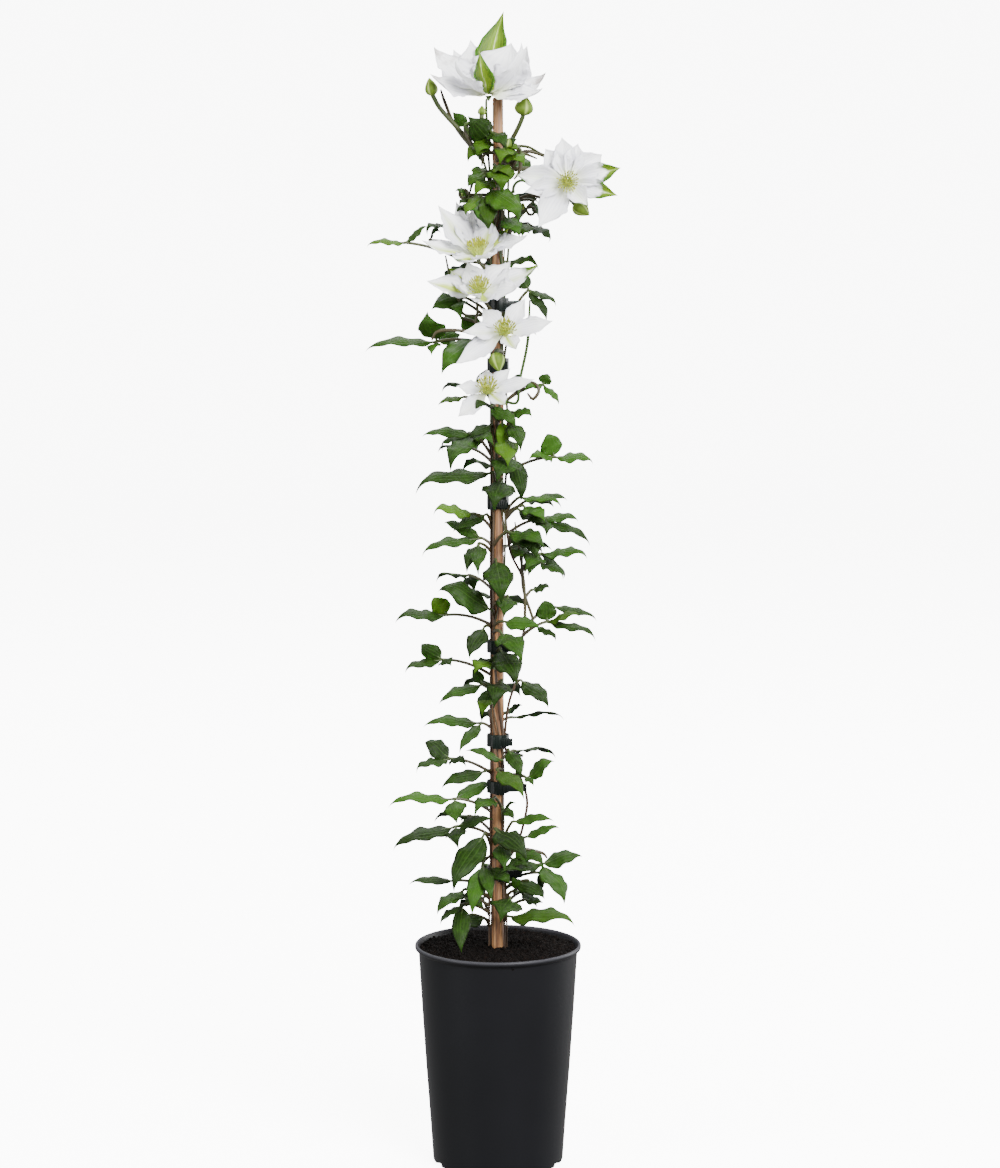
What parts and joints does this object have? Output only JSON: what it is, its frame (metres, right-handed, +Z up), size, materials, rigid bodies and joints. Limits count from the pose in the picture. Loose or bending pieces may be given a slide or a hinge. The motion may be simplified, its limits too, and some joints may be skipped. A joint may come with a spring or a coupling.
{
  "type": "potted climbing clematis",
  "caption": "White double-flowered clematis climbing a bamboo cane in a tall black plastic nursery pot.",
  "frame": {"origin": "centre of the pot's flat underside, which stands on the ground", "axes": "+Z up along the cane; -Y towards the side that the picture shows"},
  "size_m": [0.2243, 0.1492, 1.027],
  "materials": {
    "pot_plastic": "satin",
    "compost": "matte",
    "bamboo": "satin",
    "clip_plastic": "satin",
    "clematis_green": "satin",
    "tepal_white": "matte",
    "stamen_yellow": "matte"
  },
  "bodies": {
    "root": {"pot": "pot_plastic", "soil": "compost", "cane": "bamboo", "clip_1": "clip_plastic", "clip_2": "clip_plastic", "clip_3": "clip_plastic", "clip_4": "clip_plastic", "clip_5": "clip_plastic", "clip_6": "clip_plastic", "clip_7": "clip_plastic", "stem_left": "clematis_green", "stem_right": "clematis_green", "stem_front": "clematis_green", "stem_back": "clematis_green", "stem_side": "clematis_green", "bloom_1_tepals": "tepal_white", "bloom_1_stamens": "stamen_yellow", "bloom_2_tepals": "tepal_white", "bloom_2_stamens": "stamen_yellow", "bloom_3_tepals": "tepal_white", "bloom_3_stamens": "stamen_yellow", "bloom_4_tepals": "tepal_white", "bloom_4_stamens": "stamen_yellow", "bloom_5_tepals": "tepal_white", "bloom_5_stamens": "stamen_yellow", "bloom_6_tepals": "tepal_white", "bloom_6_stamens": "stamen_yellow"}
  },
  "joints": []
}
